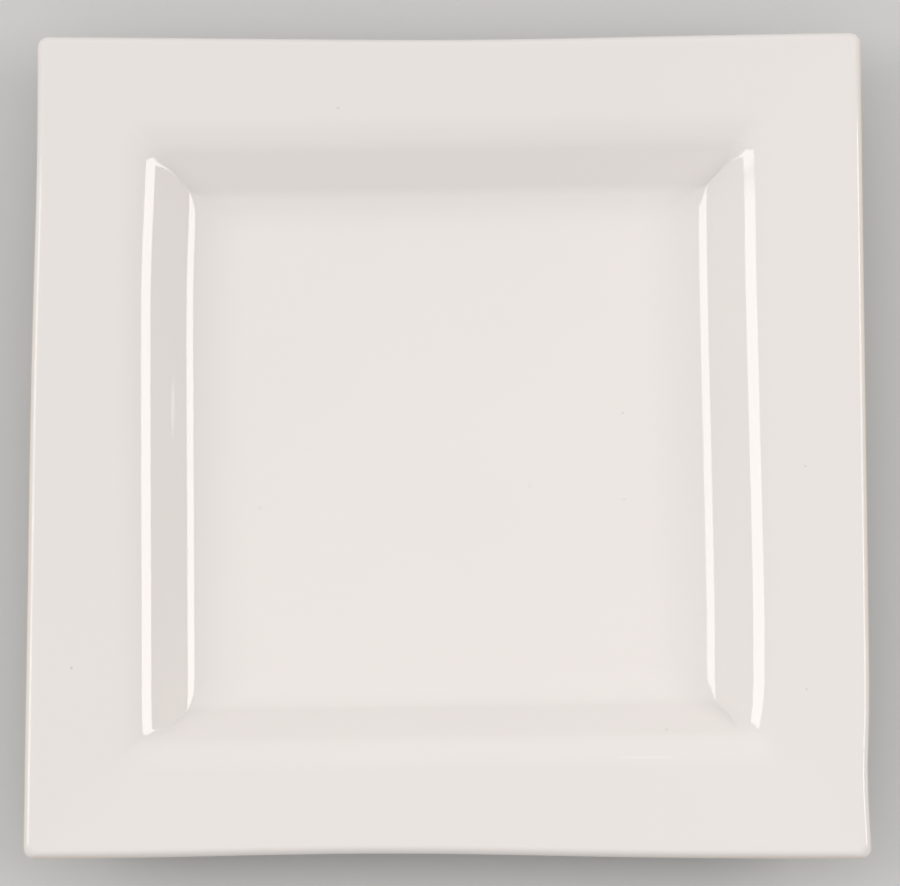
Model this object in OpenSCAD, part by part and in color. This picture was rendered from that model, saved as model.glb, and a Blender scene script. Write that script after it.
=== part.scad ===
// Square dinner plate: glazed stoneware with a flat square well, sloping walls, a wide and
// gently rising rim and a foot ring that is left bare. Millimetres, +Z up, +Y the far side.
// The origin lies on the table, in the middle of the foot ring.

/* [Plate] */
// Outside width and depth of the plate
plate_side = 267; // [230:1:310]
// Thickness of the finished ware, with the glaze on both of its sides
ware_t = 6; // [5:0.1:8]
// Plan radius of the four outside corners
corner_r = 3.2; // [2:0.1:6]

/* [Well] */
// Width of the well, between the lines where the floor's plane meets the walls' planes
floor_side = 160; // [140:1:180]
// Height from the floor up to the line where the planes of wall and rim meet
well_depth = 16.5; // [12:0.5:20]
// Slope of the walls above the horizontal, in degrees
wall_slope = 40; // [36:1:46]
// Radius of the slow curve that the floor starts to rise on
run_r = 25; // [18:1:32]
// Slope at which the slow curve goes over into the tighter one, in degrees
run_slope = 22; // [15:1:28]
// Radius of the tighter curve up into the wall
cove_r = 14; // [9:1:18]
// Radius of the round shoulder from the wall out to the rim
shoulder_r = 20; // [14:1:24]

/* [Rim] */
// Rise of the rim towards the outside edge, in degrees
rim_slope = 4.5; // [1:0.5:8]

/* [Foot] */
// Distance of the foot ring's outside from the edge of the well's floor
foot_margin_w = 2; // [0:0.5:8]
// Width of the foot ring where it stands on the table
foot_w = 4.5; // [3:0.5:7]
// Height from the table up to the glazed underside of the floor
foot_h = 3.2; // [2.4:0.1:5]
// Plan radius of the foot ring's outside corners
foot_corner_r = 14; // [8:1:20]
// Lean of the foot ring's flanks away from the vertical, in degrees
foot_draft = 20; // [5:1:30]
// Radius of the hollow between the foot ring's flanks and the underside
root_r = 1.6; // [0.8:0.1:2.4]

/* [Glaze] */
// Thickness of the fired glaze
glaze_t = 0.35; // [0.2:0.05:0.6]
// Height above the table at which the glaze stops on the foot ring
dry_h = 1.1; // [0.6:0.1:1.6]

/* [Hidden] */
$fn = 96;

CLAY = [0.78, 0.72, 0.64];
GLAZE = [0.93, 0.92, 0.89];

// How far a cut or a joining shape runs past the face that it works on
overrun = 1;
// How far a blend arc bites into the flats beside it, so that it crosses them
bite = 0.004;
// Flat left between the slow curve and the tight one
flat_w = 0.3;

half = plate_side / 2;
lip_r = ware_t / 2;
plate_core = half - corner_r;
floor_z = foot_h + ware_t;
middle_z = floor_z - lip_r;

// Corners of the finished face in section, as distance from the middle and height
run_w = run_r * tan(run_slope / 2) + flat_w + cove_r * tan((wall_slope - run_slope) / 2);
run_corner = [floor_side / 2 - run_w * (cos(run_slope) - sin(run_slope) / tan(wall_slope)), floor_z];
cove_corner = run_corner + run_w * along(run_slope);
wall_head = [floor_side / 2 + well_depth / tan(wall_slope), floor_z + well_depth];

// Each corner with the slopes before and after it and the radius of its blend,
// which is below zero where the arc's centre lies under the face
COVES = [
    [run_corner, 0, run_slope, run_r],
    [cove_corner, run_slope, wall_slope, cove_r]
];
SHOULDER = [wall_head, wall_slope, rim_slope, -shoulder_r];

// Middle of the rounded lip, on the sheet halfway between the face and the underside
rim_middle = sunk(SHOULDER, lip_r);
lip_u = half - lip_r - bite;
lip_middle = [lip_u, rim_middle.y + (lip_u - rim_middle.x) * tan(rim_slope)];

// Foot ring in section: its flanks at the table, and where the clay's underside meets them
foot_out = floor_side / 2 - foot_margin_w;
foot_in = foot_out - foot_w;
foot_core = foot_out - foot_corner_r;
flank_slope = 90 - foot_draft;
clay_under = ware_t - glaze_t;
run_start = run_corner.x - run_r * tan(run_slope / 2);
under_slope = asin(max(0, foot_out + foot_h * tan(foot_draft) - run_start) / (run_r + ware_t));
under_point = [
    run_start + (run_r + clay_under) * sin(under_slope),
    floor_z + run_r - (run_r + clay_under) * cos(under_slope)
];
OUTER_ROOT = [
    meet([foot_out, 0], flank_slope, under_point, under_slope),
    flank_slope, under_slope, -root_r - glaze_t
];
INNER_ROOT = [
    meet([-foot_in, 0], flank_slope, [0, floor_z - clay_under], 0),
    flank_slope, 0, -root_r - glaze_t
];

function along(slope) = [cos(slope), sin(slope)];
function down(slope) = [sin(slope), -cos(slope)];

// Where two lines cross, each given by a point and a slope
function meet(p, p_slope, q, q_slope) =
    p + along(p_slope) * cross(q - p, along(q_slope)) / cross(along(p_slope), along(q_slope));

// A blend's corner once the face is moved down by depth, square to itself
function sunk(blend, depth) =
    blend[0] + depth * down((blend[1] + blend[2]) / 2) / cos((blend[2] - blend[1]) / 2);

// The sliver between a blend's corner and its arc, on the face moved down by depth
module blend_patch(blend, depth) {
    corner = sunk(blend, depth);
    r = blend[3] + depth;
    centre = sunk(blend, -blend[3]);
    reach = r + sign(r) * overrun;
    outward = down((blend[1] + blend[2]) / 2) * sign(r);
    difference() {
        polygon([
            centre,
            centre + reach * down(blend[1]),
            corner + overrun * outward,
            centre + reach * down(blend[2])
        ]);
        translate(centre + bite * outward) circle(abs(r));
    }
}

// Corners of the face line moved down by depth, from the middle out to the lip
function face_line(depth) = [
    [-overrun, floor_z - depth],
    sunk(COVES[0], depth),
    sunk(COVES[1], depth),
    sunk(SHOULDER, depth),
    lip_middle + (depth - lip_r) * down(rim_slope)
];

function turned_back(line) = [for (i = [1:len(line)]) line[len(line) - i]];

// Half section of floor, wall and rim, with skin taken off all round
module sheet_section(skin) {
    under = ware_t - skin;
    difference() {
        union() {
            polygon(concat(face_line(skin), turned_back(face_line(under))));
            translate(lip_middle) circle(lip_r - skin + bite);
            for (blend = COVES) blend_patch(blend, skin);
            blend_patch(SHOULDER, under);
        }
        for (blend = COVES) blend_patch(blend, under);
        blend_patch(SHOULDER, skin);
    }
}

// Section of the foot ring, with a coat laid on its flanks
module foot_section(coat) {
    spread = coat / cos(foot_draft);
    outer = sunk(OUTER_ROOT, coat);
    inner = sunk(INNER_ROOT, coat);
    polygon([
        [foot_in - spread, 0],
        [foot_out + spread, 0],
        outer,
        [outer.x, middle_z],
        [-inner.x, middle_z],
        [-inner.x, inner.y]
    ]);
    blend_patch(OUTER_ROOT, coat);
    mirror([1, 0]) blend_patch(INNER_ROOT, coat);
}

// Carries a half section round a square: straight and mitred inside the core square,
// round its corners outside it
module square_sweep(core) {
    reach = half + overrun;
    for (quarter = [0:3]) rotate(90 * quarter) {
        intersection() {
            rotate([90, 0, 0]) linear_extrude(height = plate_side, center = true) children();
            linear_extrude(height = plate_side, center = true)
                polygon([[0, 0], [core, -core], [reach, -core], [reach, core], [core, core]]);
        }
        translate([core, core, 0]) rotate_extrude(angle = 90) intersection() {
            translate([-core, 0]) children();
            translate([0, -half]) square([reach, plate_side]);
        }
    }
}

// The clay as it comes from the biscuit firing
module clay_form() {
    square_sweep(plate_core) sheet_section(glaze_t);
    square_sweep(foot_core) foot_section(0);
}

// All of the glaze: what the finished plate has over the clay above the glaze line
module glaze_coat() {
    difference() {
        union() {
            square_sweep(plate_core) sheet_section(0);
            square_sweep(foot_core) foot_section(glaze_t);
        }
        translate([-half, -half, -overrun]) cube([plate_side, plate_side, overrun + dry_h]);
        clay_form();
    }
}

// Room under the floor, out to the middle of the foot ring
module recess_room() {
    square_sweep(foot_core) square([(foot_in + foot_out) / 2, middle_z]);
}

module clay_body() {
    color(CLAY) clay_form();
}

module face_glaze() {
    color(GLAZE) difference() {
        glaze_coat();
        recess_room();
    }
}

module recess_glaze() {
    color(GLAZE) intersection() {
        glaze_coat();
        recess_room();
    }
}

clay_body();
face_glaze();
recess_glaze();
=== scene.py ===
"""Square glazed dinner plate, dressed over its packed construction model.

The clay body, the glaze over its face and the glaze in the recess under its floor are
carried round the square from one section, so they lie on each other everywhere. The kiln's
small faults are laid over them: sides that bow in, a rim that sags, a glaze that rolls
thicker along its edge. Lengths are metres, +Z is up and +Y is the plate's far side.
"""

import logging
import math
from dataclasses import dataclass, field, fields, replace
from enum import Enum
from functools import cached_property
from typing import Any, Callable, Mapping, Sequence

import bpy
from mathutils import Matrix, Vector


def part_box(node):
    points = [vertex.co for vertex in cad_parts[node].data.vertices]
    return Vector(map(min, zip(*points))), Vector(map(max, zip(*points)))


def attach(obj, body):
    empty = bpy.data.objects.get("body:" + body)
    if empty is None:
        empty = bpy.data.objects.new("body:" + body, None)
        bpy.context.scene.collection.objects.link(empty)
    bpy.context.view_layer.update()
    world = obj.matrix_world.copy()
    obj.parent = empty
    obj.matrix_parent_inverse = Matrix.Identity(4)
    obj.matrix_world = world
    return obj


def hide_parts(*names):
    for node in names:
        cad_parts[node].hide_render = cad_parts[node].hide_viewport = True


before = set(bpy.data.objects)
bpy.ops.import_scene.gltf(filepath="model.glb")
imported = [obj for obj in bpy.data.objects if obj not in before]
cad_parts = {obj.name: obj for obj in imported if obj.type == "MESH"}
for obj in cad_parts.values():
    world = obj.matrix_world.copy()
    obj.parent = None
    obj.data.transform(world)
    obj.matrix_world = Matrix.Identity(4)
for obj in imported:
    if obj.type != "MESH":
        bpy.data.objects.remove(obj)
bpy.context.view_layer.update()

MM = 0.001
QUARTER_TURN = math.pi / 2
ROOT = "root"
PHOTO_WIDTH_PX = 900

Colour = tuple[float, float, float]

log = logging.getLogger("plate")


def metres(lengths_mm: Sequence[float]) -> tuple[float, ...]:
    """Return some lengths in millimetres as metres."""
    return tuple(length * MM for length in lengths_mm)


def add_object(name: str, data: bpy.types.ID) -> bpy.types.Object:
    """Put a mesh, lamp or camera into the scene.

    Args:
        name: the object's name.
        data: what it shows.

    Returns:
        The object, at the origin.
    """
    added = bpy.data.objects.new(name, data)
    bpy.context.scene.collection.objects.link(added)
    return added


@dataclass(frozen=True)
class Ware:
    """Sizes of the plate that its pieces share.

    Args:
        half, thickness: half of the plate's outside width, and the finished ware's thickness.
        glaze, dry_height: the fired glaze's thickness, and the height at which it stops.
        foot_height: height of the glazed underside of the floor.
        floor_half: distance to the line where the planes of floor and wall meet.
        well_depth: height from the floor to where the planes of wall and rim meet.
        run_radius, run_slope: the slow curve that the floor rises on, and the slope it ends at.
        cove_radius, flat_width, wall_slope: the tight curve, the flat before it and the wall after it.
        shoulder_radius, rim_slope: the shoulder, and the rim that it ends in.
        foot_margin: distance of the foot ring from the floor's edge.
        foot_width, foot_draft: its width at the table, and the lean of its flanks.
        foot_edge_radius, root_radius: its edges at the table, and the hollows above.
        lip_reach, lip_drop: the oval lip's half width, and how far it hangs under the rim's middle.
    """

    half: float
    glaze: float
    dry_height: float
    foot_height: float
    thickness: float = 6.0 * MM
    floor_half: float = 80.0 * MM
    well_depth: float = 16.5 * MM
    wall_slope: float = math.radians(40.0)
    run_radius: float = 25.0 * MM
    run_slope: float = math.radians(22.0)
    cove_radius: float = 14.0 * MM
    flat_width: float = 0.3 * MM
    shoulder_radius: float = 20.0 * MM
    rim_slope: float = math.radians(4.5)
    foot_margin: float = 2.0 * MM
    foot_width: float = 4.5 * MM
    foot_draft: float = math.radians(20.0)
    root_radius: float = 1.6 * MM
    foot_edge_radius: float = 0.5 * MM
    lip_reach: float = 2.4 * MM
    lip_drop: float = 0.06 * MM

    @classmethod
    def from_frame(cls) -> "Ware":
        """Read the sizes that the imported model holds.

        Returns:
            The plate's sizes, with the rest at their driving values.
        """
        face_low, face_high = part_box("face_glaze")
        _, clay_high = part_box("clay_body")
        recess_low, recess_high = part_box("recess_glaze")
        glaze = face_high[0] - clay_high[0]
        return cls(half=(face_high[0] - face_low[0]) / 2, glaze=glaze, dry_height=recess_low[2],
                   foot_height=recess_high[2] - glaze)

    @property
    def floor_height(self) -> float:
        """Height of the floor of the well."""
        return self.foot_height + self.thickness

    @property
    def foot_out(self) -> float:
        """Distance from the middle to the foot ring's outside at the table."""
        return self.floor_half - self.foot_margin

    @property
    def flank_slope(self) -> float:
        """Slope of the foot ring's flanks."""
        return QUARTER_TURN - self.foot_draft


@dataclass(frozen=True)
class Point:
    """A point or a direction in the section: out from the middle, and up."""

    out: float
    up: float

    def __add__(self, other: "Point") -> "Point":
        """Return the sum of two points."""
        return Point(self.out + other.out, self.up + other.up)

    def __sub__(self, other: "Point") -> "Point":
        """Return the difference of two points."""
        return Point(self.out - other.out, self.up - other.up)

    def __mul__(self, factor: float) -> "Point":
        """Return the point scaled by a factor."""
        return Point(self.out * factor, self.up * factor)

    def cross(self, other: "Point") -> float:
        """Return the cross product."""
        return self.out * other.up - self.up * other.out

    def length(self) -> float:
        """Return the distance from the origin."""
        return math.hypot(self.out, self.up)


def along(slope: float) -> Point:
    """Return the direction of a slope, in radians above the horizontal."""
    return Point(math.cos(slope), math.sin(slope))


def below(slope: float) -> Point:
    """Return the direction square to a slope, on its under side."""
    return Point(math.sin(slope), -math.cos(slope))


@dataclass(frozen=True)
class Station:
    """One ring of the section, which is carried round the square.

    Args:
        at: its place in the section.
        normal: the way out of the clay there.
        corner: plan radius of the ring's corners.
        run: distance along the section from the middle of the face.
    """

    at: Point
    normal: Point
    corner: float
    run: float

    def raised(self, coat: float) -> "Station":
        """Return the station moved out of the clay by a coat's thickness."""
        corner = max(0.0, self.corner + coat * self.normal.out)
        return Station(self.at + self.normal * coat, self.normal, corner, self.run)


# Plan radius of the corners at each distance from the middle, on the face and below, in mm
FACE_CORNERS_MM = (
    (0, 0), (60, 12), (70, 11), (76, 5.8), (80, 5), (82.5, 4.2), (84.5, 0.9), (87, 0.2), (90, 0.3),
    (95, 4.2), (98, 5.4), (105, 5.6), (115, 12), (119, 13), (129, 3.2),
)
UNDER_CORNERS_MM = ((0, 0), (67, 9), (77, 14), (83, 14), (100, 8), (129, 3.2))

Keys = Sequence[tuple[float, float]]


def corner_radius(keys_mm: Keys, out: float) -> float:
    """Find the plan radius at a distance from the middle, eased between keys.

    Args:
        keys_mm: pairs of a distance and the radius there, in mm, in order.
        out: the distance, in metres.

    Returns:
        The radius, in metres.
    """
    before = metres(keys_mm[0])
    for key in keys_mm[1:]:
        after = metres(key)
        if out <= after[0]:
            share = max(0.0, (out - before[0]) / (after[0] - before[0]))
            share = share * share * (3.0 - 2.0 * share)
            return before[1] + (after[1] - before[1]) * share
        before = after
    return before[1]


@dataclass(frozen=True)
class Bend:
    """A round stretch of the section between two slopes.

    Args:
        middle: the middle of its arc.
        radius: the arc's radius, below zero where the arc lies over its middle.
        start, end: slopes where it is walked first and last.
    """

    middle: Point
    radius: float
    start: float
    end: float

    def at(self, slope: float) -> Point:
        """Return the place where the arc has a slope."""
        return self.middle + below(slope) * self.radius


@dataclass
class SectionWalk:
    """Collects a section's stations, from the face's middle to the recess's.

    Args:
        corners_mm: plan radii of the corners on the side that is walked.
        facing: 1 where the downward normal leads out of the clay, and -1 on the face.
        shortest: two stations closer than this are one.
        stations: what has been walked so far.
    """

    corners_mm: Keys = FACE_CORNERS_MM
    facing: float = -1.0
    shortest: float = 0.02 * MM
    stations: list[Station] = field(default_factory=list)

    def put(self, at: Point, normal: Point) -> None:
        """Add a station, unless it repeats the last one.

        Args:
            at: its place.
            normal: the way out of the clay there.
        """
        run = 0.0
        if self.stations:
            last = self.stations[-1]
            step = (at - last.at).length()
            if step < self.shortest:
                return
            run = last.run + step
        self.stations.append(Station(at, normal, corner_radius(self.corners_mm, at.out), run))

    def line(self, end: Point, slope: float, step: float) -> None:
        """Walk a straight stretch from the last station.

        Args:
            end, slope: its last point, and its slope.
            step: the longest step on it.
        """
        start = self.stations[-1].at
        count = max(1, math.ceil((end - start).length() / step))
        for index in range(1, count + 1):
            self.put(start + (end - start) * (index / count), below(slope) * self.facing)

    def bend(self, bend: Bend, step: float, turn: float) -> None:
        """Walk straight up to a bend, and round it.

        Args:
            bend: the bend.
            step: the longest step on the straight stretch.
            turn: the largest angle between two stations of the bend.
        """
        self.line(bend.at(bend.start), bend.start, step)
        count = max(1, math.ceil(abs(bend.end - bend.start) / turn))
        for index in range(count + 1):
            slope = bend.start + (bend.end - bend.start) * index / count
            self.put(bend.at(slope), below(slope) * self.facing)

    def oval(self, middle: Point, slope: float, reach: float, height: float, steps: int) -> None:
        """Walk half an oval from its top, round its outer end, to its bottom.

        Args:
            middle, slope: the oval's middle, and how far it is tilted above the horizontal.
            reach, height: its half width and half height.
            steps: how many steps it takes.
        """
        outward, upward = along(slope), below(slope) * -1.0
        for index in range(steps + 1):
            spoke = along(QUARTER_TURN - math.pi * index / steps)
            at = middle + outward * (reach * spoke.out) + upward * (height * spoke.up)
            way = outward * (height * spoke.out) + upward * (reach * spoke.up)
            self.put(at, way * (1.0 / way.length()))


@dataclass
class PlateSection:
    """Half section of the clay, from the middle of the floor round to the middle of the recess.

    Args:
        ware: the plate's sizes.
        floor_step, rim_step, foot_step, flank_step: longest steps on the floor, on walls and
            rim, across the foot ring's face and on its flanks.
        slow_turn, tight_turn, under_turn, root_turn, edge_turn: largest angles between stations
            on the face's slow curve, on its others, on the underside, in the foot ring's roots
            and on its edges.
        lip_steps: how many steps go round the lip.
        walk: collects the stations.
    """

    ware: Ware
    floor_step: float = 9.0 * MM
    rim_step: float = 4.5 * MM
    foot_step: float = 1.2 * MM
    flank_step: float = 0.22 * MM
    slow_turn: float = math.radians(2.1)
    tight_turn: float = math.radians(1.85)
    under_turn: float = math.radians(3.1)
    root_turn: float = math.radians(9.0)
    edge_turn: float = math.radians(15.0)
    lip_steps: int = 26
    walk: SectionWalk = field(default_factory=SectionWalk)

    def stations(self) -> list[Station]:
        """Walk the whole section of the clay.

        Returns:
            Its stations, from the middle of the face to the middle of the recess.
        """
        ware = self.ware
        self._walk_face()
        self.walk.oval(self._lip_middle(), ware.rim_slope, ware.lip_reach - ware.glaze,
                       ware.thickness / 2 - ware.glaze, self.lip_steps)
        self.walk.corners_mm, self.walk.facing = UNDER_CORNERS_MM, 1.0
        self._walk_underside()
        self._walk_foot()
        return self.walk.stations

    def _sheet_bends(self, depth: float) -> tuple[Bend, Bend, Bend]:
        """Find the bends of a layer of the ware, from the middle out.

        Args:
            depth: how far the layer lies under the finished face.

        Returns:
            The slow curve, the tight curve and the shoulder.
        """
        ware = self.ware
        run_reach = ware.run_radius * math.tan(ware.run_slope / 2)
        tight_turn = (ware.wall_slope - ware.run_slope) / 2
        width = run_reach + ware.flat_width + ware.cove_radius * math.tan(tight_turn)
        shift = math.cos(ware.run_slope) - math.sin(ware.run_slope) / math.tan(ware.wall_slope)
        start = ware.floor_half - width * shift - run_reach
        slow = Point(start, ware.floor_height + ware.run_radius)
        tight = (slow + below(ware.run_slope) * (ware.run_radius - ware.cove_radius)
                 + along(ware.run_slope) * ware.flat_width)
        head = Point(ware.floor_half + ware.well_depth / math.tan(ware.wall_slope),
                     ware.floor_height + ware.well_depth)
        reach = ware.shoulder_radius / math.cos((ware.wall_slope - ware.rim_slope) / 2)
        shoulder = head + below((ware.wall_slope + ware.rim_slope) / 2) * reach
        return (
            Bend(slow, ware.run_radius + depth, 0.0, ware.run_slope),
            Bend(tight, ware.cove_radius + depth, ware.run_slope, ware.wall_slope),
            Bend(shoulder, depth - ware.shoulder_radius, ware.wall_slope, ware.rim_slope),
        )

    def _lip_middle(self) -> Point:
        """Find the middle of the oval lip, whose outside touches the plate's outside.

        Returns:
            The middle.
        """
        ware = self.ware
        start = self._sheet_bends(ware.thickness / 2)[-1].at(ware.rim_slope)
        reach = math.hypot((ware.lip_reach - ware.glaze) * math.cos(ware.rim_slope),
                           (ware.thickness / 2 - ware.glaze) * math.sin(ware.rim_slope))
        out = ware.half - ware.glaze - reach
        return Point(out, start.up + (out - start.out) * math.tan(ware.rim_slope) - ware.lip_drop)

    def _walk_face(self) -> None:
        """Walk the floor, the wall and the rim of the face."""
        ware, walk = self.ware, self.walk
        slow, tight, shoulder = self._sheet_bends(ware.glaze)
        walk.put(Point(0.0, ware.floor_height - ware.glaze), Point(0.0, 1.0))
        walk.bend(slow, self.floor_step, self.slow_turn)
        walk.bend(tight, self.rim_step, self.tight_turn)
        walk.bend(shoulder, self.rim_step, self.tight_turn)
        rim_end = self._lip_middle() - below(ware.rim_slope) * (ware.thickness / 2 - ware.glaze)
        walk.line(rim_end, ware.rim_slope, self.rim_step)

    def _walk_underside(self) -> None:
        """Walk the underside of rim and wall, in to the outer root of the foot ring."""
        ware, walk = self.ware, self.walk
        depth = ware.thickness - ware.glaze
        slow, tight, shoulder = (replace(bend, start=bend.end, end=bend.start)
                                 for bend in self._sheet_bends(depth))
        reach = ware.foot_out + ware.foot_height * math.tan(ware.foot_draft) - slow.middle.out
        slope = math.asin(max(0.0, reach) / (ware.run_radius + ware.thickness))
        foot, flank, under = Point(ware.foot_out, 0.0), along(ware.flank_slope), along(slope)
        corner = foot + flank * ((slow.at(slope) - foot).cross(under) / flank.cross(under))
        radius = ware.root_radius + ware.glaze
        start = corner + under * (radius * math.tan((ware.flank_slope - slope) / 2))
        slow_end = math.asin(max(0.0, start.out - slow.middle.out) / slow.radius)
        root = Bend(start + below(slope) * radius, -radius, slope, ware.flank_slope)
        for bend in (shoulder, tight, replace(slow, end=slow_end)):
            walk.bend(bend, self.rim_step, self.under_turn)
        walk.bend(root, self.rim_step, self.root_turn)

    def _walk_foot(self) -> None:
        """Walk the foot ring and the recess inside it."""
        ware, walk = self.ware, self.walk
        edge, flank = ware.foot_edge_radius, ware.flank_slope
        inset = edge * math.tan(flank / 2)
        foot_in = ware.foot_out - ware.foot_width
        ceiling = ware.foot_height + ware.glaze
        radius = ware.root_radius + ware.glaze
        root_out = foot_in - ceiling * math.tan(ware.foot_draft) - radius * math.tan(flank / 2)
        outer = Bend(Point(ware.foot_out - inset, edge), edge, flank, 0.0)
        inner = Bend(Point(foot_in + inset, edge), edge, 0.0, -flank)
        root = Bend(Point(root_out, ceiling - radius), -radius, -flank, 0.0)
        walk.bend(outer, self.flank_step, self.edge_turn)
        walk.bend(inner, self.foot_step, self.edge_turn)
        walk.bend(root, self.flank_step, self.root_turn)
        walk.line(Point(0.0, ceiling), 0.0, self.floor_step)


def operator(operation: str, behind: bool = False) -> "Callable[[Value, Value | float], Value]":
    """Make one of Value's operators.

    Args:
        operation: the Math node's operation.
        behind: whether the value stands behind the number, as in 1 - mask.

    Returns:
        The method.
    """
    def worked_out(value: "Value", other: "Value | float") -> "Value":
        """Return the result of the Math node."""
        return value.tree.maths(operation, *((other, value) if behind else (value, other)))
    return worked_out


@dataclass(frozen=True)
class Value:
    """A node's output, or an expression built on one.

    Args:
        tree, socket: the tree that it is in, and the output socket.
    """

    tree: "Tree"
    socket: bpy.types.NodeSocket

    __add__, __radd__ = operator("ADD"), operator("ADD", behind=True)
    __sub__, __rsub__ = operator("SUBTRACT"), operator("SUBTRACT", behind=True)
    __mul__, __rmul__ = operator("MULTIPLY"), operator("MULTIPLY", behind=True)
    __truediv__, __rtruediv__ = operator("DIVIDE"), operator("DIVIDE", behind=True)

    def __neg__(self) -> "Value":
        """Return the value with its sign turned."""
        return self * -1.0

    def output(self, name: str) -> "Value":
        """Return another output of the same node."""
        return Value(self.tree, self.socket.node.outputs[name])


Feed = Value | float | int | str | tuple | bpy.types.ID


class Tree:
    """Adds nodes to a node tree, from types, settings and sockets' values or links."""

    def __init__(self, tree: bpy.types.NodeTree) -> None:
        """Take over a tree and empty it."""
        self.tree = tree
        tree.nodes.clear()

    def add(self, kind: str, sockets: Mapping[str | int, Feed] | None = None,
            out: str | int = 0, **settings: Any) -> Value:
        """Add a node.

        Args:
            kind: the node's type.
            sockets: values or links by the input's name or number.
            out: the output that the result stands for.
            settings: the node's properties.

        Returns:
            The chosen output, or the node's first input where it has no output.
        """
        node = self.tree.nodes.new(kind)
        for name, value in settings.items():
            setattr(node, name, value)
        for key, value in (sockets or {}).items():
            if isinstance(value, Value):
                self.tree.links.new(value.socket, node.inputs[key])
            else:
                node.inputs[key].default_value = value
        return Value(self, node.outputs[out] if node.outputs else node.inputs[0])

    def maths(self, operation: str, *values: Value | float) -> Value:
        """Add a Math node with its inputs in order."""
        return self.add("ShaderNodeMath", dict(enumerate(values)), operation=operation)

    def vectors(self, operation: str, *values: Feed, out: str | int = 0) -> Value:
        """Add a Vector Math node with its inputs in order."""
        return self.add("ShaderNodeVectorMath", dict(enumerate(values)), out, operation=operation)

    def parts(self, vector: Value) -> Value:
        """Return a vector's X, with Y and Z as the node's other outputs."""
        return self.add("ShaderNodeSeparateXYZ", {0: vector})

    def ease(self, value: Value, low: float | Value, high: float | Value) -> Value:
        """Return 0 where a value is at low, 1 at high, with an easy curve between."""
        ends = {"Value": value, "From Min": low, "From Max": high}
        return self.add("ShaderNodeMapRange", ends, interpolation_type="SMOOTHSTEP")

    @cached_property
    def place(self) -> Value:
        """The point's place on its piece."""
        return self.add("ShaderNodeTexCoord", out="Object")

    def noise(self, scale: float, detail: float) -> Value:
        """Return noise, by its patches to the metre and its finer layers."""
        return self.add("ShaderNodeTexNoise", {"Vector": self.place, "Scale": scale, "Detail": detail})

    def bump(self, height: Value, distance: float) -> Value:
        """Return the normal of a relief that is as high as the distance."""
        return self.add("ShaderNodeBump", {"Strength": 1.0, "Distance": distance, "Height": height})

    def mix(self, factor: Value, first: Value | Colour, second: Colour, label: str = "") -> Value:
        """Return a mix of two colours."""
        base = (*first, 1.0) if isinstance(first, tuple) else first
        sockets = {0: factor, 6: base, 7: (*second, 1.0)}
        return self.add("ShaderNodeMix", sockets, 2, data_type="RGBA", label=label)


class Part(Enum):
    """The part of the plate that a dent moves."""

    RIM = "rim"
    WELL = "well"


@dataclass(frozen=True)
class Dent:
    """A place where the plate was pushed in while the clay was soft. Its lengths are in mm.

    Args:
        name: what the dent is.
        middle: its middle's distances to the right and to the far side of the plate's middle.
        push: how far the clay is pushed, to the right and to the far side.
        spread: distance from its middle at which it has mostly died out.
        part: what it moves.
    """

    name: str
    middle: tuple[float, float]
    push: tuple[float, float]
    spread: float
    part: Part = Part.RIM


DENTS = (
    Dent("Near side", (-20, -133.5), (0.0, 1.72), 72),
    Dent("Far side", (6, 133.5), (0.0, -1.0), 75),
    Dent("Near rim", (40, -133.5), (0.0, 0.3), 160),
    Dent("Far rim", (-20, 133.5), (0.0, -1.55), 155),
    Dent("Right corner", (133.5, -108), (-0.95, 0.0), 17),
    Dent("Left side", (-133.5, 92), (0.78, 0.0), 48),
    Dent("Far left well", (-95, 95), (1.65, 0.4), 30, Part.WELL),
    Dent("Near right well", (95, -95), (-0.85, -0.15), 30, Part.WELL),
    Dent("Far right well", (95, 95), (0.4, -0.75), 30, Part.WELL),
    Dent("Near right shoulder", (99, -99), (-2.2, -0.2), 11, Part.WELL),
)


@dataclass(frozen=True)
class SweepSizes:
    """The sweep's named inputs.

    Args:
        half_width: half of the plate's outside width.
        foot_height, floor_height: heights between which the faults set in.
        side_steps, corner_steps: steps along each side and round each corner.
        seed: seed of the slow waves.
        rim_start: distance from the middle at which the rim's faults set in.
        rim_sag, ripple: how far the rim and its short waves sag at most.
        well_turn: how far the well is turned in the rim, in radians.
        well_pull: share by which it is wider than it is deep.
        well_right, well_away: how far it lies to the right and to the far side.
    """

    half_width: float
    foot_height: float
    floor_height: float
    side_steps: int = 32
    corner_steps: int = 12
    seed: int = 3
    rim_start: float = 104.0 * MM
    rim_sag: float = 0.5 * MM
    ripple: float = 0.04 * MM
    well_turn: float = math.radians(0.84)
    well_pull: float = 0.0018
    well_right: float = 0.42 * MM
    well_away: float = 0.35 * MM

    @classmethod
    def inputs(cls) -> dict[str, tuple[str, str]]:
        """Return each field's name with its input's name and kind."""
        return {item.name: (item.name.replace("_", " ").capitalize(), item.type.__name__.capitalize())
                for item in fields(cls)}


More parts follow.
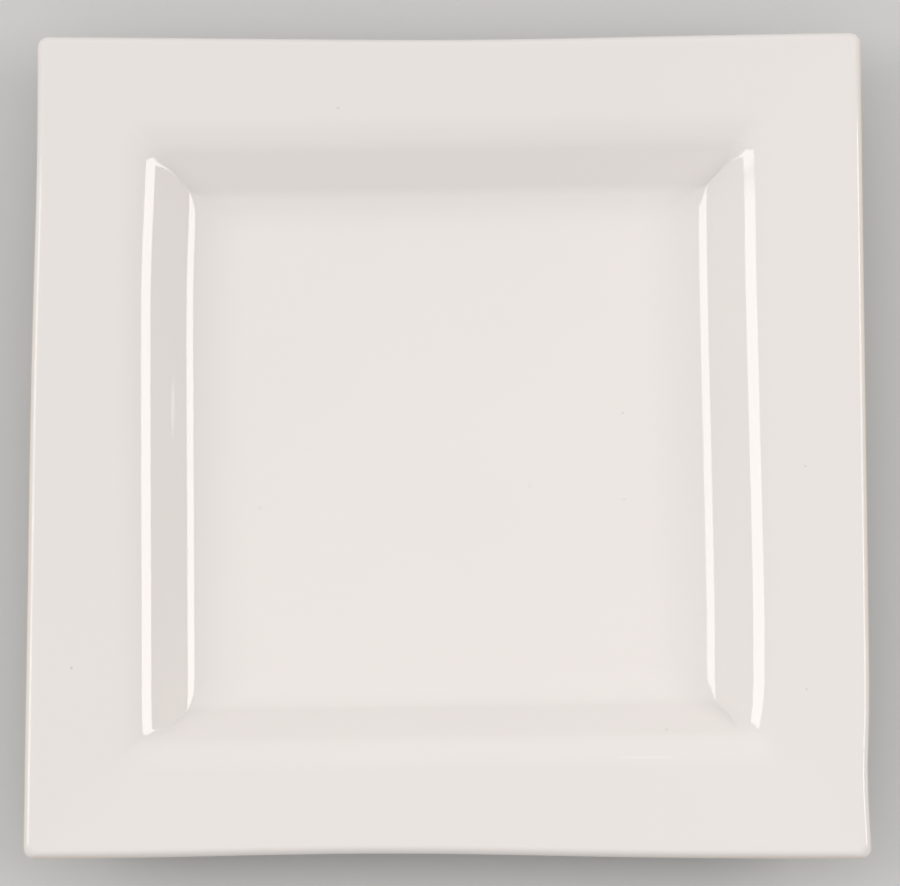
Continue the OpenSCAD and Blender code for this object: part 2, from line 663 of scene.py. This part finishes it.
class SquareSweep:
    """Geometry Nodes that carry a section round a square and lay the kiln's faults over it.

    The section comes in as a row of points: x is the distance out, y the plan radius of
    the ring's corners and z the height.
    """

    SAG_WAVES = 9.0
    RIPPLE_WAVES = 27.0
    WELD = 0.001 * MM

    def __init__(self) -> None:
        """Build the tree."""
        self.group = bpy.data.node_groups.new("square_sweep", "GeometryNodeTree")
        self.group.is_modifier = True
        self._declare("Section", "Geometry")
        for name, kind in SweepSizes.inputs().values():
            self._declare(name, kind)
        for dent in DENTS:
            self._declare(f"{dent.name} dent", "Float").default_value = 1.0
        self._declare("Finish", "Material")
        self._declare("Shell", "Geometry", "OUTPUT")
        self.tree = Tree(self.group)
        self.given = self.tree.add("NodeGroupInput")
        self._build()

    def _declare(self, name: str, kind: str, way: str = "INPUT") -> bpy.types.NodeTreeInterfaceSocket:
        """Add a named input or output to the tree."""
        return self.group.interface.new_socket(name, in_out=way, socket_type=f"NodeSocket{kind}")

    def _input(self, name: str) -> Value:
        """Return one of the tree's named inputs."""
        return self.given.output(name)

    def _build(self) -> None:
        """Add the nodes from the bare grid to the finished shell."""
        tree = self.tree
        section = {"Geometry": self._input("Section")}
        rows = tree.add("GeometryNodeAttributeDomainSize", section, "Point Count")
        quarter_steps = self._input("Side steps") + self._input("Corner steps")
        grid = tree.add("GeometryNodeMeshGrid", {
            "Size X": 1.0, "Size Y": 1.0, "Vertices X": quarter_steps * 4.0 + 1.0, "Vertices Y": rows,
        })
        place = self._swept(rows, quarter_steps)
        moved = tree.add("GeometryNodeSetPosition", {"Geometry": grid, "Position": place})
        welded = tree.add("GeometryNodeMergeByDistance", {"Geometry": moved, "Distance": self.WELD})
        turned = tree.add("GeometryNodeFlipFaces", {"Mesh": welded})
        smooth = tree.add("GeometryNodeSetShadeSmooth", {"Geometry": turned})
        real = tree.add("GeometryNodeRealizeInstances", {"Geometry": smooth})
        finish = {"Geometry": real, "Material": self._input("Finish")}
        tree.add("NodeGroupOutput", {"Shell": tree.add("GeometryNodeSetMaterial", finish)})

    def _swept(self, rows: Value, quarter_steps: Value) -> Value:
        """Place the grid's points round the square.

        Args:
            rows: how many stations the section has.
            quarter_steps: how many steps go round each quarter.

        Returns:
            Each point's place.
        """
        tree = self.tree
        spot = tree.add("GeometryNodeInputPosition")
        flat = tree.parts(spot)
        row = tree.maths("ROUND", (flat.output("Y") + 0.5) * (rows - 1.0))
        column = tree.maths("ROUND", (flat.output("X") + 0.5) * quarter_steps * 4.0)
        station = tree.add("GeometryNodeSampleIndex", {
            "Geometry": self._input("Section"), "Value": spot, "Index": row,
        }, data_type="FLOAT_VECTOR", domain="POINT")
        parts = tree.parts(station)
        out, corner, up = parts.output("X"), parts.output("Y"), parts.output("Z")
        quarter = tree.maths("FLOOR", column / quarter_steps)
        within = column - quarter * quarter_steps
        along_side = tree.maths("MINIMUM", within / self._input("Side steps"), 1.0)
        past_side = tree.maths("MAXIMUM", within - self._input("Side steps"), 0.0)
        turn = past_side / self._input("Corner steps") * QUARTER_TURN
        core = out - corner
        across = core + corner * tree.maths("COSINE", turn)
        sideways = core * (along_side * 2.0 - 1.0) + corner * tree.maths("SINE", turn)
        local = tree.add("ShaderNodeCombineXYZ", {"X": across, "Y": sideways, "Z": up})
        return self._warped(self._turned(local, quarter * QUARTER_TURN), out, up)

    def _turned(self, place: Value, angle: Value) -> Value:
        """Turn places round the plate's axis."""
        sockets = {"Vector": place, "Angle": angle}
        return self.tree.add("ShaderNodeVectorRotate", sockets, rotation_type="Z_AXIS")

    def _warped(self, ring: Value, out: Value, up: Value) -> Value:
        """Lay the kiln's faults over the true form.

        Args:
            ring: the points' true places.
            out, up: distance of their ring from the middle, and its height.

        Returns:
            The places with the well pulled and turned, the edge dented and the rim sagging.
        """
        tree = self.tree
        rim_share = tree.ease(out, self._input("Rim start"), self._input("Half width"))
        loose = tree.ease(up, self._input("Foot height"), self._input("Floor height"))
        well_share = loose * (1.0 - rim_share)
        turned = self._turned(ring, self._input("Well turn") * well_share)
        spot = tree.parts(turned)
        pull = self._input("Well pull")
        right = well_share * (spot.output("X") * pull + self._input("Well right"))
        away = well_share * (self._input("Well away") - spot.output("Y") * pull)
        for dent in DENTS:
            moved = rim_share if dent.part is Part.RIM else well_share
            share = self._dent_share(spot, dent) * moved * self._input(f"{dent.name} dent")
            push = metres(dent.push)
            right = right + share * push[0]
            away = away + share * push[1]
        sag = rim_share * self._input("Rim sag") * self._swell(turned, self.SAG_WAVES)
        sag = sag + loose * self._input("Ripple") * self._swell(turned, self.RIPPLE_WAVES)
        shift = tree.add("ShaderNodeCombineXYZ", {"X": right, "Y": away, "Z": -sag})
        return tree.vectors("ADD", turned, shift)

    def _dent_share(self, spot: Value, dent: Dent) -> Value:
        """Return 1 at a dent's middle, dying out round it."""
        right, away = ((spot.output(axis) - middle) * (1.0 / (dent.spread * MM))
                       for axis, middle in zip("XY", metres(dent.middle)))
        return self.tree.maths("EXPONENT", -(right * right + away * away))

    def _swell(self, place: Value, scale: float) -> Value:
        """Return slow waves between 0 and 1, of 1 / scale metres."""
        noise = self.tree.add("ShaderNodeTexNoise", {
            "Vector": place, "W": self._input("Seed"), "Scale": scale, "Detail": 1.0,
        }, noise_dimensions="4D")
        return self.tree.ease(noise, low=0.25, high=0.75)

    def shell(self, name: str, section: Sequence[Station], material: bpy.types.Material,
              sizes: SweepSizes) -> bpy.types.Object:
        """Carry one section round the square.

        Args:
            name: the new piece's name.
            section: its stations, from the upper pole round to the lower one.
            material: its finish.
            sizes: values for the tree's named inputs.

        Returns:
            The piece, as a plain mesh with no modifier.
        """
        points = [(station.at.out, station.corner, station.at.up) for station in section]
        mesh = bpy.data.meshes.new(f"{name}_section")
        mesh.from_pydata(points, [(i, i + 1) for i in range(len(points) - 1)], [])
        carrier = add_object(f"{name}_section", mesh)
        modifier = carrier.modifiers.new("square_sweep", "NODES")
        modifier.node_group = self.group
        names = {item.name: item.identifier for item in self.group.interface.items_tree
                 if item.in_out == "INPUT"}
        for key, (given, _) in sizes.inputs().items():
            modifier[names[given]] = getattr(sizes, key)
        modifier[names["Finish"]] = material
        graph = bpy.context.evaluated_depsgraph_get()
        result = bpy.data.meshes.new_from_object(carrier.evaluated_get(graph))
        result.name = name
        bpy.data.objects.remove(carrier)
        bpy.data.meshes.remove(mesh)
        return add_object(name, result)


class Tone(Enum):
    """The colour of a mark: dark iron, or the white of a scratch and of a painted highlight."""

    DARK = (0.42, 0.38, 0.34)
    PALE = (0.95, 0.93, 0.91)


@dataclass(frozen=True)
class Mark:
    """A speck or scratch in the glaze, or a highlight painted into its colour. Its lengths are in mm.

    Args:
        name: what the mark is.
        middle: its distances to the right, to the far side and up from the plate's middle.
        reach: half its size to the right and to the far side.
        share, tone: how much of its tone shows, and whether that is dark or pale.
        depth: how far above and below its middle it shows.
    """

    name: str
    middle: tuple[float, float, float]
    reach: tuple[float, float] = (0.34, 0.34)
    share: float = 0.35
    tone: Tone = Tone.DARK
    depth: float = 3.0

    def mask(self, tree: Tree) -> Value:
        """Work out the mark's share of the colour.

        Args:
            tree: the material's tree.

        Returns:
            The share, which dies out round the mark's middle.
        """
        offset = tree.vectors("SUBTRACT", tree.place, metres(self.middle))
        scaled = tree.vectors("DIVIDE", offset, metres((*self.reach, self.depth)))
        length = tree.vectors("LENGTH", scaled, out="Value")
        return (1.0 - tree.ease(length, low=0.5, high=1.5)) * self.share


FAINT = (0.5, 0.5)
MARKS = (
    Mark("Far rim speck", (-35.4, 108.3, 26.4), (0.5, 0.3)),
    Mark("Right rim speck", (114.0, -8.9, 26.8)),
    Mark("Near right rim speck", (113.5, -80.0, 26.8)),
    Mark("Left rim speck", (-118.9, -73.1, 27.1), (0.45, 0.5)),
    Mark("Near wall speck", (69.5, -92.2, 20.0)),
    Mark("Far right floor speck", (56.4, 11.1, 9.2)),
    Mark("Near right floor speck", (56.7, -17.0, 9.2), FAINT, 0.15),
    Mark("Middle floor speck", (26.4, -12.7, 9.2), FAINT, 0.12),
    Mark("Left floor speck", (-60.8, -19.7, 9.2), FAINT, 0.15),
    Mark("Near rim scratch", (63.4, -101.4, 24.9), (8.0, 0.4), 0.24, Tone.PALE),
    # Painted highlight: a soft pale reflection on the left wall, painted into the glaze's colour
    # instead of coming from a lamp.
    Mark("Left wall streak", (-88.6, 12.0, 15.5), (0.55, 9.0), 0.6, Tone.PALE),
)


@dataclass(frozen=True)
class Finish:
    """What a surface is finished with.

    Args:
        name: the material's name.
    """

    name: str

    def build(self) -> bpy.types.Material:
        """Make the material.

        Returns:
            The finished material.
        """
        material = bpy.data.materials.new(self.name)
        material.use_nodes = True
        tree = Tree(material.node_tree)
        tree.add("ShaderNodeOutputMaterial", {"Surface": self.surface(tree)})
        return material

    def surface(self, tree: Tree) -> Value:
        """Return the finish's own shader."""
        raise NotImplementedError


@dataclass(frozen=True)
class GlazeFinish(Finish):
    """White gloss glaze: clear glass over a white slip, with a few specks from the kiln.

    Args:
        colour, rim_colour: the well's colour and the greyer rim's.
        thin_colour: the clay that shows through where the glaze is thin on the edge.
        cloud_share: how far cloudy patches go from the well's colour to the rim's.
        refraction: the glass's index of refraction.
        speck_share: how much of their colour the sparse specks show.
        roughness, wiped: the gloss, and what faint wiped marks add to it.
        ripple_height: height of the ripple that fired glass keeps.
        rim_start, rim_end: distances from the middle between which the rim's colour comes in.
        edge_start, edge_end: distances between which the glaze thins.
    """

    name: str = "white_gloss_glaze"
    colour: Colour = (0.818, 0.782, 0.760)
    rim_colour: Colour = (0.790, 0.754, 0.735)
    thin_colour: Colour = (0.75, 0.66, 0.56)
    cloud_share: float = 0.2
    refraction: float = 1.52
    speck_share: float = 0.45
    roughness: float = 0.055
    wiped: float = 0.03
    ripple_height: float = 0.006 * MM
    rim_start: float = 94.0 * MM
    rim_end: float = 106.0 * MM
    edge_start: float = 131.8 * MM
    edge_end: float = 133.7 * MM

    def surface(self, tree: Tree) -> Value:
        """Return clear glass over the glaze's colour, rippled and faintly wiped."""
        wiped = tree.ease(tree.noise(scale=35.0, detail=4.0), low=0.45, high=0.8) * self.wiped
        return tree.add("ShaderNodeBsdfPrincipled", {
            "Base Color": self._colour(tree), "Roughness": self.roughness + wiped,
            "IOR": self.refraction,
            "Normal": tree.bump(tree.noise(scale=55.0, detail=1.5), self.ripple_height),
        })

    def _colour(self, tree: Tree) -> Value:
        """Colour the glaze: a greyer rim, cloudy patches, a thin edge, marks and a painted highlight.

        Args:
            tree: the material's tree.

        Returns:
            The colour.
        """
        spot = tree.parts(tree.vectors("ABSOLUTE", tree.place))
        outside = tree.maths("MAXIMUM", spot, spot.output("Y"))
        cloud = tree.ease(tree.noise(scale=18.0, detail=3.0), low=0.3, high=0.7) * self.cloud_share
        rim = tree.ease(outside, self.rim_start, self.rim_end) * (1.0 - self.cloud_share)
        thin = tree.ease(outside, self.edge_start, self.edge_end)
        shade = tree.mix(cloud + rim, self.colour, self.rim_colour)
        shade = tree.mix(thin, shade, self.thin_colour)
        shade = tree.mix(self._specks(tree), shade, Tone.DARK.value)
        # The specks and the scratch are the glaze's own colour; the pale left wall mark is a painted
        # highlight.
        for mark in MARKS:
            shade = tree.mix(mark.mask(tree), shade, mark.tone.value, mark.name)
        return shade

    def _specks(self, tree: Tree) -> Value:
        """Scatter sparse specks of iron, a fifth of a millimetre to half a one.

        Args:
            tree: the material's tree.

        Returns:
            Their mask.
        """
        scale, chance, smallest, spread = 55.0, 0.07, 0.012, 0.014
        sockets = {"Vector": tree.place, "Scale": scale, "Randomness": 1.0}
        cells = tree.add("ShaderNodeTexVoronoi", sockets, feature="F1")
        draw = tree.add("ShaderNodeSeparateColor", {0: cells.output("Color")})
        chosen = tree.maths("LESS_THAN", draw.output("Red"), chance)
        radius = smallest + draw.output("Green") * spread
        return chosen * tree.maths("LESS_THAN", cells.output("Distance"), radius) * self.speck_share


@dataclass(frozen=True)
class ClayFinish(Finish):
    """Bare stoneware of the foot ring: matte, sandy, rubbed grey where it stands.

    Args:
        colour, dark_colour, rub_colour: colours of the clay, its dark grains and rubbed patches.
        grain_share, rub_share: how much of the latter two shows.
        rub_height: height above the table at which the rubbing ends.
        grain_height: height of the grain.
        roughness, polish: how matte the clay is, and what rubbing takes off that.
    """

    name: str = "bare_stoneware"
    colour: Colour = (0.66, 0.58, 0.48)
    dark_colour: Colour = (0.50, 0.43, 0.35)
    rub_colour: Colour = (0.40, 0.37, 0.34)
    grain_share: float = 0.6
    rub_share: float = 0.7
    rub_height: float = 0.25 * MM
    grain_height: float = 0.05 * MM
    roughness: float = 0.82
    polish: float = 0.25

    def surface(self, tree: Tree) -> Value:
        """Make the shader.

        Args:
            tree: the material's tree.

        Returns:
            The shader.
        """
        sand = tree.noise(scale=1400.0, detail=3.0)
        grain = tree.ease(sand, low=0.35, high=0.7) * self.grain_share
        low = 1.0 - tree.ease(tree.parts(tree.place).output("Z"), 0.0, self.rub_height)
        worn = tree.ease(tree.noise(scale=60.0, detail=3.0), low=0.42, high=0.66)
        rubbed = low * worn * self.rub_share
        body = tree.mix(grain, self.colour, self.dark_colour)
        return tree.add("ShaderNodeBsdfPrincipled", {
            "Base Color": tree.mix(rubbed, body, self.rub_colour),
            "Roughness": self.roughness - rubbed * self.polish,
            "Normal": tree.bump(sand, self.grain_height),
        })


@dataclass(frozen=True)
class FloorPaper(Finish):
    """Pale matte paper, which is clear from below.

    Args:
        colour, roughness: the paper's colour, and how matte it is.
    """

    name: str = "floor_paper"
    colour: Colour = (0.60, 0.60, 0.594)
    roughness: float = 0.9

    def surface(self, tree: Tree) -> Value:
        """Return paper from above and nothing from below."""
        sockets = {"Base Color": (*self.colour, 1.0), "Roughness": self.roughness}
        return tree.add("ShaderNodeMixShader", {
            0: tree.add("ShaderNodeNewGeometry", out="Backfacing"),
            1: tree.add("ShaderNodeBsdfPrincipled", sockets),
            2: tree.add("ShaderNodeBsdfTransparent"),
        })


class Layer(Enum):
    """The three solids of the plate."""

    CLAY = "clay_body"
    FACE = "face_glaze"
    RECESS = "recess_glaze"


@dataclass
class Plate:
    """The whole plate: its clay and its two coats of glaze.

    Args:
        ware: the plate's sizes.
        nose: distance from the glaze's edge at which it is as thick as elsewhere.
        roll: how much thicker it is where it rolls up behind its edge.
        roll_place, roll_width: distance of the roll from the edge, and half its width.
    """

    ware: Ware
    nose: float = 0.45 * MM
    roll: float = 0.35
    roll_place: float = 0.7 * MM
    roll_width: float = 0.6 * MM

    def _coat(self, clay: Sequence[Station], edge_run: float) -> list[Station]:
        """Lay a coat of glaze over the clay, thin at its edge and thickest just behind it.

        Args:
            clay: the stations that it covers.
            edge_run: how far along the section its edge lies.

        Returns:
            The stations of its outside.
        """
        outside = []
        for station in clay:
            distance = abs(station.run - edge_run)
            share = min(1.0, distance / self.nose)
            bead = 1.0 + self.roll * math.exp(-((distance - self.roll_place) / self.roll_width) ** 2)
            thickness = self.ware.glaze * math.sqrt(1.0 - (1.0 - share) ** 2) * bead
            outside.append(station.raised(thickness))
        return outside

    def _sections(self) -> dict[Layer, list[Station]]:
        """Work out each solid's section.

        Returns:
            The stations of each, from its upper pole round to its lower one.
        """
        clay = PlateSection(self.ware).stations()
        bare = [i for i, station in enumerate(clay) if station.at.up < self.ware.dry_height]
        face, recess = clay[:bare[0]], clay[bare[-1] + 1:]
        return {
            Layer.CLAY: clay,
            Layer.FACE: self._coat(face, face[-1].run) + face[::-1],
            Layer.RECESS: recess[::-1] + self._coat(recess, recess[0].run),
        }

    def build(self) -> None:
        """Build the three pieces and tie them to the frame."""
        ware, sweep = self.ware, SquareSweep()
        sizes = SweepSizes(ware.half, ware.foot_height, ware.floor_height)
        glaze, bare = GlazeFinish().build(), ClayFinish().build()
        for layer, section in self._sections().items():
            material = bare if layer is Layer.CLAY else glaze
            piece = sweep.shell(f"{layer.value}_form", section, material, sizes)
            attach(piece, ROOT)
            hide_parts(layer.value)
            log.info("%s: %d stations, %d faces", piece.name, len(section), len(piece.data.polygons))


@dataclass(frozen=True)
class Softbox:
    """A flat lamp that faces the plate.

    Args:
        name: what the lamp is.
        azimuth, zenith: where it stands, in degrees from +X towards +Y and from straight above.
        distance: how far it is from the plate.
        width, height: its sizes round the plate, and up and down.
        slide: how far it is moved along its width, towards the far side.
        power, colour: its power in watts, and its colour.
    """

    name: str
    azimuth: float
    zenith: float
    distance: float
    width: float
    height: float
    power: float
    slide: float = 0.0
    colour: Colour = (1.0, 0.965, 0.945)

    def build(self) -> None:
        """Put the lamp into the scene."""
        lamp = bpy.data.lights.new(self.name, "AREA")
        lamp.shape = "RECTANGLE"
        lamp.size, lamp.size_y = self.width, self.height
        lamp.energy, lamp.color = self.power, self.colour
        across, up = along(math.radians(self.azimuth)), along(QUARTER_TURN - math.radians(self.zenith))
        way = Vector((up.out * across.out, up.out * across.up, up.up))
        holder = add_object(self.name, lamp)
        holder.location = way * self.distance + Vector((0.0, self.slide, 0.0))
        holder.rotation_euler = way.to_track_quat("Z", "Y").to_euler()


LAMPS = (
    Softbox("right_box", 0.0, 58.1, 1.5, 0.68, 0.542, 6.23, 0.088),
    Softbox("left_box", 180.0, 55.16, 2.0, 0.735, 0.829, 8.14, 0.157),
    Softbox("near_box", -90.0, 50.0, 0.9, 1.2, 0.8, 0.78),
)


@dataclass
class Studio:
    """Floor, lamps, world and camera round the plate.

    Args:
        ware: the plate's sizes.
        floor_half: half of the floor's width.
        opening_margin: width of the foot ring's face that the floor still carries.
        opening_radius, opening_steps: radius of the opening's corners, and steps round each.
        even_light: strength of the room's light from all sides.
        far_light, left_light, high_light: what it gains towards the far side, left and ceiling.
        backdrop_light: strength of the backdrop that the camera and mirrored rays see.
        backdrop_top: sine of the angle above and below the horizon at which the backdrop ends.
        air_colour: colour of the room's light.
        lens_px: the lens's focal length, in pixels of the photograph.
        lean, drift, roll: how far the camera leans to the near side, leans to the right and is
            rolled, in radians.
        distance, aim: how far it is from the point that it looks at, and that point.
    """

    ware: Ware
    floor_half: float = 6.0
    opening_margin: float = 0.8 * MM
    opening_radius: float = 14.0 * MM
    opening_steps: int = 6
    even_light: float = 0.04
    far_light: float = 0.48
    left_light: float = 0.38
    high_light: float = 0.385
    backdrop_light: float = 0.5
    backdrop_top: float = 0.2
    air_colour: Colour = (1.0, 0.99, 0.98)
    lens_px: float = 4137.0
    lean: float = math.radians(8.5)
    drift: float = 0.0194
    roll: float = -0.0020
    distance: float = 1.3205
    aim: tuple[float, float, float] = (0.0009, -0.0010, 0.025)

    def build(self) -> None:
        """Set up everything round the plate."""
        self._floor()
        for lamp in LAMPS:
            lamp.build()
        self._world()
        self._camera()
        bpy.context.scene.view_settings.view_transform = "Standard"

    def _floor(self) -> None:
        """Lay the pale floor, open inside the foot ring to show the underside."""
        half, radius = self.ware.foot_out - self.opening_margin, self.opening_radius
        opening = []
        for quarter in range(4):
            middle = Vector((half - radius, half - radius, 0.0))
            for step in range(self.opening_steps + 1):
                spoke = along(step / self.opening_steps * QUARTER_TURN)
                corner = middle + Vector((spoke.out, spoke.up, 0.0)) * radius
                opening.append(Matrix.Rotation(quarter * QUARTER_TURN, 3, "Z") @ corner)
        count = len(opening)
        outline = [point * (self.floor_half / half) for point in opening]
        mesh = bpy.data.meshes.new("floor")
        mesh.from_pydata(opening + outline, [], [
            (i, count + i, count + (i + 1) % count, (i + 1) % count) for i in range(count)
        ])
        mesh.materials.append(FloorPaper().build())
        add_object("floor", mesh)

    def _background(self, tree: Tree, strength: Value | float) -> Value:
        """Return air of some strength."""
        sockets = {"Color": (*self.air_colour, 1.0), "Strength": strength}
        return tree.add("ShaderNodeBackground", sockets)

    def _world(self) -> None:
        """Give the room its light, and a plain backdrop along the horizon."""
        world = bpy.data.worlds.new("studio_air")
        world.use_nodes = True
        bpy.context.scene.world = world
        tree = Tree(world.node_tree)
        way = tree.parts(tree.add("ShaderNodeTexCoord", out="Generated"))
        far = 0.5 + way.output("Y") * 0.5
        left = 0.5 - way.output("X") * 0.5
        high = tree.maths("MAXIMUM", way.output("Z"), 0.0)
        room = self._background(tree, self.even_light + far * self.far_light
                                + left * self.left_light + high * self.high_light)
        backdrop = self._background(tree, self.backdrop_light)
        ray = tree.add("ShaderNodeLightPath", out="Is Camera Ray")
        bent = tree.maths("MAXIMUM", ray.output("Is Glossy Ray"), ray.output("Is Transmission Ray"))
        steep = tree.maths("ABSOLUTE", way.output("Z"))
        band = 1.0 - tree.ease(steep, self.backdrop_top / 2, self.backdrop_top)
        shown = {0: tree.maths("MAXIMUM", ray, bent) * band, 1: room, 2: backdrop}
        tree.add("ShaderNodeOutputWorld", {"Surface": tree.add("ShaderNodeMixShader", shown)})

    def _camera(self) -> None:
        """Set the camera at the photograph's viewing angle."""
        lens = bpy.data.cameras.new("camera")
        lens.lens = lens.sensor_width * self.lens_px / PHOTO_WIDTH_PX
        turn = (Matrix.Rotation(self.lean, 4, "X") @ Matrix.Rotation(self.drift, 4, "Y")
                @ Matrix.Rotation(self.roll, 4, "Z"))
        back = turn @ Vector((0.0, 0.0, self.distance))
        holder = add_object("camera", lens)
        holder.matrix_world = Matrix.Translation(Vector(self.aim) + back) @ turn
        bpy.context.scene.camera = holder


def main() -> None:
    """Build the plate and its studio."""
    logging.basicConfig(level=logging.INFO, format="%(name)s: %(message)s")
    ware = Ware.from_frame()
    Plate(ware).build()
    Studio(ware).build()


if __name__ == "__main__":
    main()
